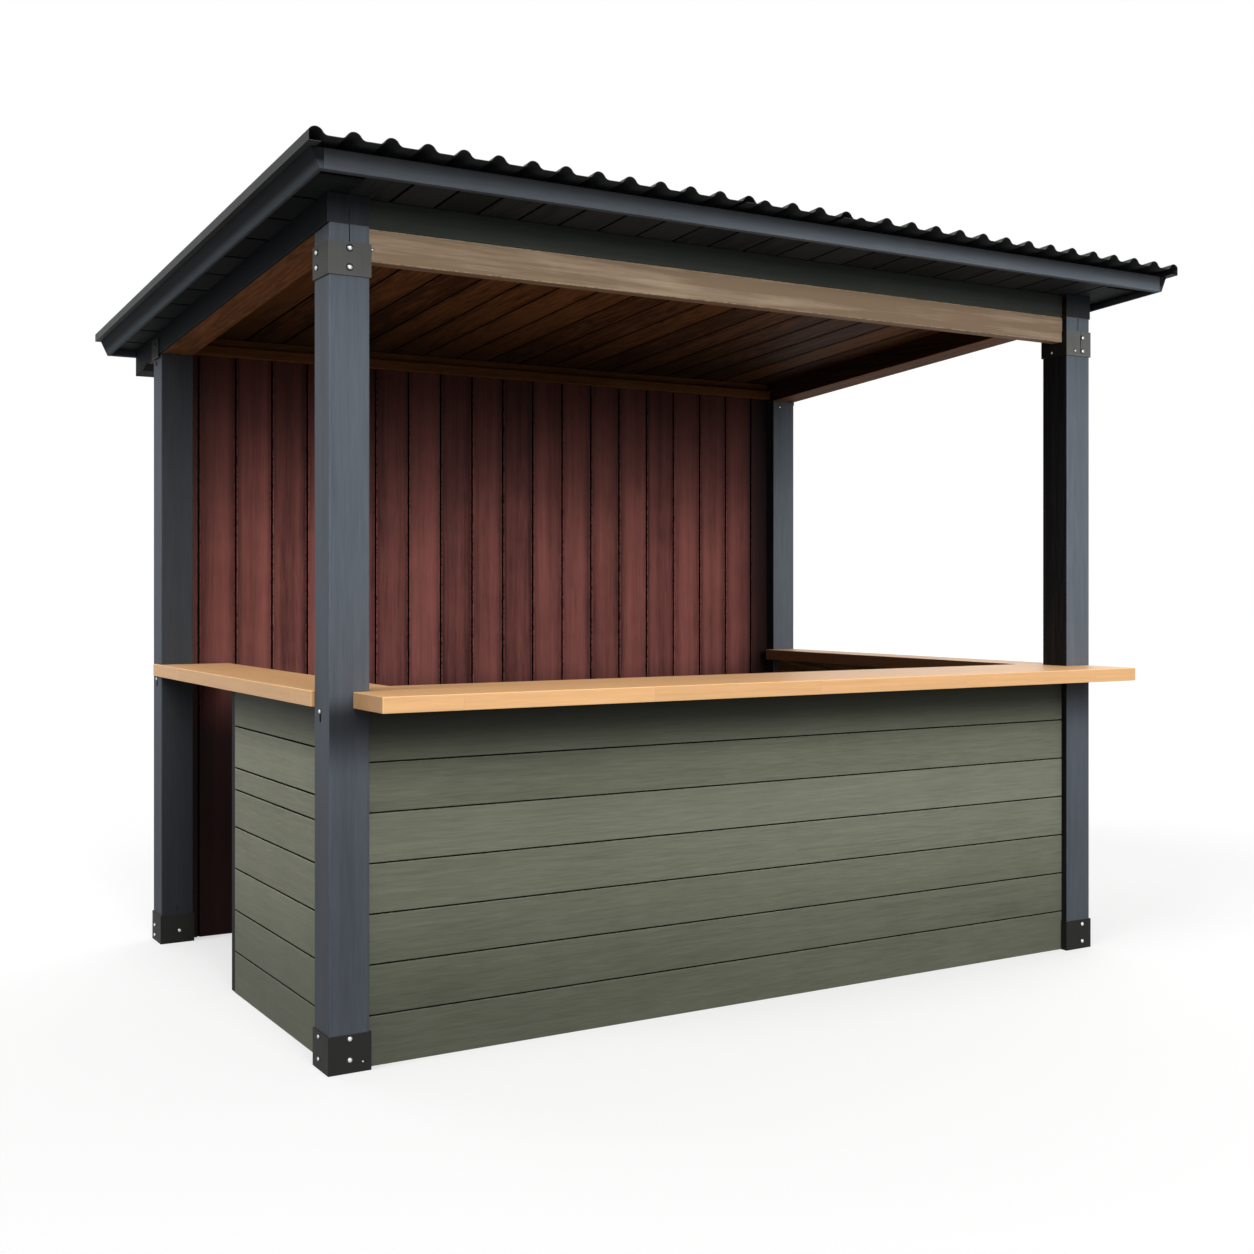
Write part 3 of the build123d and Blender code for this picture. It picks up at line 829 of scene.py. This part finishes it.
def section(width, gap, first, last):
    """Depth and height of a board's corners. The first and the last board end square."""
    low = 0 if first else gap / 2
    high = width if last else width - gap / 2
    points = [(0, low), (0, high)]
    if not last:
        tip = width + gap / 2 + tongue_reach
        points += [(tongue_front, high), (tongue_front, tip), (tongue_back, tip), (tongue_back, high)]
    points += [(board_thickness, high), (board_thickness, low)]
    if not first:
        near, far = tongue_front - tongue_play, tongue_back + tongue_play
        bottom = low + tongue_reach + tongue_play
        points += [(far, low), (far, bottom), (near, bottom), (near, low)]
    return points


def extruded(mesh, face, by):
    """Extrudes a face, moves the new corners and gives them back."""
    grown = bmesh.ops.extrude_face_region(mesh, geom=[face])["geom"]
    moved = [part for part in grown if isinstance(part, bmesh.types.BMVert)]
    bmesh.ops.translate(mesh, verts=moved, vec=by)
    return moved


def runs_along_x(edge):
    first, second = edge.verts
    return abs(second.co.x - first.co.x) > 0.001


def board(mesh, height, length, width, gap, radius, first, last):
    """Adds one board of a flat field, with its lower side at this height."""
    corners = [mesh.verts.new((0, y, height + z)) for y, z in section(width, gap, first, last)]
    extruded(mesh, mesh.faces.new(corners), (length, 0, 0))
    linked = [edge for corner in corners[:2] for edge in corner.link_edges]
    round_edges(mesh, [edge for edge in linked if runs_along_x(edge)], radius)
    across = mesh.verts.layers.float["across"]
    for corner in mesh.verts:
        if corner.co.z > height and corner.co.y < radius * 1.01:
            corner[across] = 2 * (corner.co.z - height) / width - 1
    set_tone(mesh, next_tone())


def shade_gaps(mesh, total, radius, own_back):
    """A painted shade for what lies in the gaps, and a third material, if there is one, at the back.
    """
    mesh.normal_update()
    for face in mesh.faces:
        centre = face.calc_center_median()
        inside = radius * 1.01 < centre.y < board_back and hair < centre.z < total - hair
        if inside and abs(face.normal.x) < 0.5:
            face.material_index = 1
        if own_back and centre.y > board_back:
            face.material_index = 2


# %% A field of boards
def standing_at(corner, along, inwards, upwards):
    """Where a field lies: its corner, and the directions of its length, depth and height."""
    turn = Matrix((along, inwards, upwards)).transposed().to_4x4()
    return Matrix.Translation(corner) @ turn


def boarding(name, matrix, length, widths, gap, radius, finishes, slot):
    """A field of boards side by side, as one piece that replaces a CAD node."""
    mesh = new_mesh()
    height = 0
    for n, width in enumerate(widths):
        board(mesh, height, length, width, gap, radius, n == 0, n == len(widths) - 1)
        height += width
    shade_gaps(mesh, height, radius, len(finishes) > 2)
    bmesh.ops.transform(mesh, matrix=matrix, verts=mesh.verts[:])
    made = piece(name + "_boards", mesh, finishes, slot, name)
    print(made.name, len(widths), "boards,", len(made.data.polygons), "faces")


narrowest = 0.02


def even_widths(total, width, first):
    """Boards of one width, after a first one of another, and what is left over at the end."""
    widths = [first]
    while sum(widths) + width < total - narrowest:
        widths.append(width)
    return widths + [total - sum(widths)]


# %% [markdown]
# ## Lower sides and back wall
#
# The front boards are 143.5 mm, with one of another width under the counter. On the left one
# narrow board sits between wider ones, as in the photograph. The right side is hidden there and
# is made like the left. The wall's boards stand upright, with a narrow first one beside the left
# post. Their backs have no zones, because the painted shade of the zones belongs to the inside.

# %% Lower sides
right, back, up = Vector((1, 0, 0)), Vector((0, 1, 0)), Vector((0, 0, 1))
lower_radius = 0.0020
front_width = 0.1435
left_widths = [0.139, 0.139, 0.139, 0.139, 0.125, 0.073, 0.139]

low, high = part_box("front_panel")
front_widths = [front_width] * 6 + [high.z - low.z - 6 * front_width]
front_matrix = standing_at(low, right, back, up)
front_look = (0.0045, lower_radius, [green_front["X"], green_gap_shade["X"]], "green_boards")
boarding("front_panel", front_matrix, high.x - low.x, front_widths, *front_look)

low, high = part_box("left_panel")
side_widths = left_widths + [high.z - low.z - sum(left_widths)]
left_matrix = standing_at((low.x, high.y, low.z), -back, right, up)
side_look = (0.0055, lower_radius, [green_sides["Y"], green_gap_shade["Y"]], "green_boards")
boarding("left_panel", left_matrix, high.y - low.y, side_widths, *side_look)

low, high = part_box("right_panel")
right_matrix = standing_at((high.x, low.y, low.z), back, -right, up)
boarding("right_panel", right_matrix, high.y - low.y, side_widths, *side_look)

# %% Back wall
low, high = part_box("back_wall")
wall_widths = even_widths(high.x - low.x, 0.146, first=0.035)
wall_matrix = standing_at((low.x, low.y, high.z), -up, back, right)
wall_look = (0.008, 0.003, [red_boards["Z"], gap_shade["Z"], red_outside["Z"]], "red_boards")
boarding("back_wall", wall_matrix, high.z - low.z, wall_widths, *wall_look)

# %% [markdown]
# ## Ceiling and soffits
#
# Inside, brown boards run from the front to the back, down the slope of the roof. Under the
# overhangs the boards are nearly black: at the front and the back they run down the slope too,
# and at the sides they run across it. The matrix that places them is sheared, so that their ends
# stay upright on the slope, like the ends of the real ones.

# %% Ceiling
down_slope = Vector((0, 1, -roof_fall))
slope_radius = 0.0025


def soffit_line(y):
    """Height of the boards' underside at y: it starts at the side plate's top, at its front."""
    plate_low, plate_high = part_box("side_plate_left")
    return plate_high.z - (y - plate_low.y) * roof_fall


def sloping_boards(node, first, width, gap, finish, slot):
    """Boards that run down the slope, with the first joint at this distance from the left."""
    low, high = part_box(node)
    matrix = standing_at((low.x, low.y, soffit_line(low.y)), down_slope, up, right)
    widths = even_widths(high.x - low.x, width, first)
    boarding(node, matrix, high.y - low.y, widths, gap, slope_radius, [finish, gap_shade["Y"]], slot)


sloping_boards("ceiling", 0.136, 0.1509, 0.010, ceiling_stain["Y"], "brown_timber")
sloping_boards("soffit_front", 0.137, 0.1365, 0.009, dark_soffit["Y"], "dark_soffit")
sloping_boards("soffit_back", 0.137, 0.1365, 0.006, dark_soffit["Y"], "dark_soffit")


# %% Side soffits
side_soffit_look = (0.012, slope_radius, [shaded_side_soffit["X"], gap_shade["X"]], "dark_soffit")
for node in ("soffit_left", "soffit_right"):
    low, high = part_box(node)
    matrix = standing_at((high.x, low.y, soffit_line(low.y)), -right, up, down_slope)
    widths = even_widths(high.y - low.y, 0.2217, first=0.0878)
    boarding(node, matrix, high.x - low.x, widths, *side_soffit_look)

# %% [markdown]
# ## Hidden frame
#
# Rails and studs of plain sawn wood carry the boards, and battens carry the roof sheets. The
# rails and studs show from inside the bar and from behind, so they are dressed like the rest. The
# battens take the nearly black soffit stain, a painted shade where they show under the sheets.

# %% Rails, studs and battens
side_rail_place = 1.39
sawn = (0.002, 0.03)


def running_back(face):
    """The rails at the sides run along Y, the others along X."""
    return 1 if abs(face.calc_center_median().x) > side_rail_place else 0


for node in ("top_rails", "bottom_rails"):
    dressed(node, [frame_timber["X"], frame_timber["Y"]], "frame_timber", *sawn, running_back)
dressed("panel_studs", [frame_timber["Z"]], "frame_timber", *sawn)
dressed("wall_rails", [frame_timber["X"]], "frame_timber", *sawn)
# Battens painted nearly black: painted shade in the gap under the sheets.
for end in ("front", "middle", "back"):
    dressed("batten_" + end, [dark_soffit["X"]], "dark_soffit", *sawn)

# %% [markdown]
# ## Counters
#
# The three counters are cut round the posts that they pass. The front one runs out past the
# right post and in front of the left one. The CAD shapes have the notches, so only the arrises
# are rounded here, and the right one's inner edge takes the darker oil, a painted shade.

# %% Counters
def dark_inside(face):
    return 1 if face.normal.x < -0.5 else 0


sanded = (0.0025, 0.02)
for side, axis in (("front", "X"), ("left", "Y")):
    dressed("counter_" + side, [counter_wood[axis]], "counter_wood", *sanded)
dressed("counter_right", [counter_wood["Y"], shaded_honey], "counter_wood", *sanded, dark_inside)

# %% [markdown]
# ## Roof sheets
#
# The CAD sheets already have the round crests, the laps and the folded verges, so they stay as
# they are and get the factory paint.

# %% Roof sheets
sheets = ("roof_sheet_left", "roof_sheet_middle", "roof_sheet_right")
for node in sheets:
    for holder in nodes[node].material_slots:
        holder.material = roof_paint
    print(node, len(nodes[node].data.polygons), "faces")

# %% [markdown]
# ## Bolts and screws
#
# A coach bolt has a low round head on a washer. Its outline is a few points, spun round the
# bolt's axis and merged. Each head is made lying flat, in its own size, and then turned so that
# it points out of the face. All the heads of one kind are one piece.

# %% One bolt head
head_radius = 0.0078
head_height = 0.0052
washer_radius = 0.0108
washer_thickness = 0.0014
head_sides = 20


def spun(mesh, outline, material):
    """Spins an outline of (radius, height) points round the Z axis and closes its ends."""
    before = set(mesh.faces)
    points = [mesh.verts.new((radius, 0, height)) for radius, height in outline]
    edges = [mesh.edges.new(pair) for pair in zip(points, points[1:])]
    turn = {"axis": (0, 0, 1), "cent": (0, 0, 0), "angle": 2 * math.pi, "steps": head_sides}
    bmesh.ops.spin(mesh, geom=points + edges, use_merge=True, **turn)
    bmesh.ops.remove_doubles(mesh, verts=mesh.verts[:], dist=1e-6)
    for face in mesh.faces:
        if face not in before:
            face.material_index = material


def dome(radius, height, base, steps=5):
    """Points of a low dome on a short upright rim."""
    rim = height * 0.25
    points = [(0.0, base), (radius, base), (radius, base + rim)]
    for n in range(1, steps):
        angle = math.pi / 2 * n / steps
        points.append((radius * math.cos(angle), base + rim + (height - rim) * math.sin(angle)))
    return points + [(0.0, base + height)]


def bolt_head(size):
    """A zinc dome on a dark washer, as a mesh to copy."""
    mesh = bmesh.new()
    rim = washer_thickness * size
    reach = washer_radius * size
    washer = [(0, 0), (reach, 0), (reach, rim * 0.7), (reach * 0.95, rim), (0, rim)]
    spun(mesh, washer, 1)
    spun(mesh, dome(head_radius * size, head_height * size, rim), 0)
    data = bpy.data.meshes.new("bolt_pattern")
    mesh.to_mesh(data)
    mesh.free()
    return data


def pointing(point, direction):
    """Where something made flat on the floor goes, to stand on a face that looks this way."""
    turn = Vector(direction).to_track_quat("Z", "Y").to_matrix().to_4x4()
    return Matrix.Translation(point) @ turn


def bolts(name, places, slot, finishes=(bolt_zinc, washer_steel)):
    """Bolt heads at (point, direction, size) as one piece."""
    mesh = new_mesh()
    for point, direction, size in places:
        pattern = bolt_head(size)
        pattern.transform(pointing(point, direction))
        mesh.from_mesh(pattern)
        bpy.data.meshes.remove(pattern)
    made = piece(name, mesh, finishes, slot, smooth=True)
    print(name, len(places), "heads,", len(made.data.polygons), "faces")
    return made


# %% [markdown]
# Most faces of a bracket have two bolts, and a few small ones sit beside them. Their places are
# read from the photograph for the front and the left, and guessed to be alike on the right.

# %% Bolt places
front_face, side_face = -0.994, 1.504
outwards, leftwards, rightwards = (0, -1, 0), (-1, 0, 0), (1, 0, 0)


def both_sides(x, y, height, size):
    """The same bolt on the left side and on the right."""
    return [((-x, y, height), leftwards, size), ((x, y, height), rightwards, size)]


def in_front(*rows):
    """Bolts in the front face of the front brackets, each at x and a height, with its size."""
    return [((x, front_face, height), outwards, size) for x, height, size in rows]


head_bolts = [
    *in_front((-1.441, 2.305, 1.0), (-1.441, 2.251, 1.0)),
    *in_front((1.459, 2.297, 0.9), (1.459, 2.247, 0.9), (1.420, 2.246, 0.6)),
    ((1.376, -0.920, 2.244), leftwards, 0.7),
    ((1.416, 0.850, 2.222), outwards, 0.6),
    *both_sides(side_face, -0.902, 2.301, 0.9),
    *both_sides(side_face, -0.902, 2.258, 0.9),
]
bolts("head_bolts", head_bolts, "head_steel")
strap_bolts = both_sides(1.510, 0.904, 2.284, 0.8) + both_sides(1.500, 0.925, 2.2175, 0.9)
bolts("strap_bolts", strap_bolts, "head_steel", [head_steel, washer_steel])
foot_bolts = [
    *in_front((-1.441, 0.097, 0.9), (-1.441, 0.038, 0.9), (-1.402, 0.028, 0.3)),
    *in_front((1.456, 0.092, 0.9), (1.456, 0.028, 0.9)),
    ((-side_face, -0.918, 0.094), leftwards, 0.7),
    ((-side_face, -0.918, 0.031), leftwards, 0.7),
    ((side_face, -0.904, 0.092), rightwards, 0.9),
    ((side_face, -0.904, 0.031), rightwards, 0.9),
    ((-1.433, 0.846, 0.047), outwards, 0.8),
    *both_sides(side_face, 0.930, 0.060, 0.8),
    *both_sides(side_face, 0.930, 0.022, 0.8),
]
bolts("foot_bolts", foot_bolts, "foot_steel")

# %% Bolts in the timber
post_outer = 1.500
slot_top = 1.008
slot_rows = (-0.920, 0.914)
proud = 0.0005
beam_bolt = ((-1.365, -0.970, 2.312), outwards, 0.5)
frame_bolts = [beam_bolt]
for y in slot_rows:
    frame_bolts += both_sides(post_outer + proud, y, slot_top, 0.75)
bolts("frame_bolts", frame_bolts, "head_steel")

# %% [markdown]
# ## Slots and checks
#
# Under the counters each post has a short dark slot with a small bolt at its top. A slot could
# be cut into the post, but from a few steps a thin black plate looks the same: a circle whose
# lower half is pulled down, and its black is the slot's painted shade. Timber that dries also
# splits a little, and such a check is a long thin lozenge, black with the painted shade of the
# split. Both lie a fraction of a millimetre proud of the face.

# %% Slots under the counters
slot_width = 0.011
slot_length = 0.036


def slot_plate(mesh, point, direction):
    """A plate with round ends that hangs down on a face from a bolt at this point."""
    circle = bmesh.ops.create_circle(mesh, cap_ends=True, segments=16, radius=slot_width / 2)["verts"]
    for corner in circle:
        if corner.co.y < 0:
            corner.co.y -= slot_length - slot_width
    lifted = extruded(mesh, circle[0].link_faces[0], (0, 0, proud))
    bmesh.ops.transform(mesh, matrix=pointing(point, direction), verts=circle + lifted)


mesh = new_mesh()
for y in slot_rows:
    slot_plate(mesh, (-post_outer, y, slot_top), leftwards)
    slot_plate(mesh, (post_outer, y, slot_top), rightwards)
set_tone(mesh, next_tone())
piece("bolt_slots", mesh, [gap_shade["Z"]], "foot_steel")
print("bolt_slots", 2 * len(slot_rows), "plates")


# %% Checks in the timber
def check(mesh, x, y, low, high, width):
    """A thin lozenge on a face that looks to the front."""
    middle = low + (high - low) * 0.6
    outline = [(x, low), (x + width / 2, middle), (x, high), (x - width / 2, middle)]
    face = mesh.faces.new([mesh.verts.new((corner, y, height)) for corner, height in outline])
    extruded(mesh, face, (0, -proud, 0))


def front_of(node):
    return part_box(node)[0].y


post_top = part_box("post_front_left")[1].z
checks = [
    (-1.441, front_of("side_plate_left"), post_top - 0.002, post_top + 0.055, 0.0018),
    (1.449, front_of("head_bracket_front_right"), 2.236, 2.322, 0.0034),
    (-1.441, front_of("post_back_left"), 0.107, 0.150, 0.0030),
]
mesh = new_mesh()
for place_and_size in checks:
    check(mesh, *place_and_size)
set_tone(mesh, next_tone())
piece("timber_checks", mesh, [gap_shade["Z"]], "blue_grey_timber")
print("timber_checks", len(checks), "checks")

# %% [markdown]
# ## Roof screws
#
# The sheets are screwed to the three battens through their troughs. Where a trough is, is asked
# of the sheets themselves: a ray is sent down every two millimetres along each batten, and the
# middle of every low stretch takes a screw.

# %% Find the troughs
ray_step = 0.002
ray_start = 4.0
trough_depth = 0.0006


def sheet_height(trees, x, y):
    """Height of the uppermost sheet at a point, or None beside the roof."""
    hits = [tree.ray_cast(Vector((x, y, ray_start)), -up)[0] for tree in trees]
    heights = [hit.z for hit in hits if hit]
    return max(heights) if heights else None


def troughs(trees, y, first, last):
    """The middle of each stretch that is as low as the lowest one, and that height."""
    count = int((last - first) / ray_step)
    steps = [first + n * ray_step for n in range(count)]
    heights = [sheet_height(trees, x, y) for x in steps]
    low = min(height for height in heights if height)
    flat = [x for x, height in zip(steps, heights) if height and height < low + trough_depth]
    stretches = [[flat[0]]]
    for x in flat[1:]:
        if x - stretches[-1][-1] > ray_step * 2:
            stretches.append([])
        stretches[-1].append(x)
    return [((run[0] + run[-1]) / 2, low) for run in stretches]


# %% Screws
screw_size = 0.75
screw_seat = 0.0002
batten_end = 0.02
trees = [BVHTree.FromObject(nodes[name], bpy.context.evaluated_depsgraph_get()) for name in sheets]
screws = []
for end in ("front", "middle", "back"):
    low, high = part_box("batten_" + end)
    y = (low.y + high.y) / 2
    for x, height in troughs(trees, y, low.x + batten_end, high.x - batten_end):
        screws.append(((x, y, height + screw_seat), (0, roof_fall, 1), screw_size))
print("first troughs", [round(screw[0][0], 3) for screw in screws[:4]])
bolts("roof_screws", screws, "roof_sheet", [washer_steel, washer_steel])
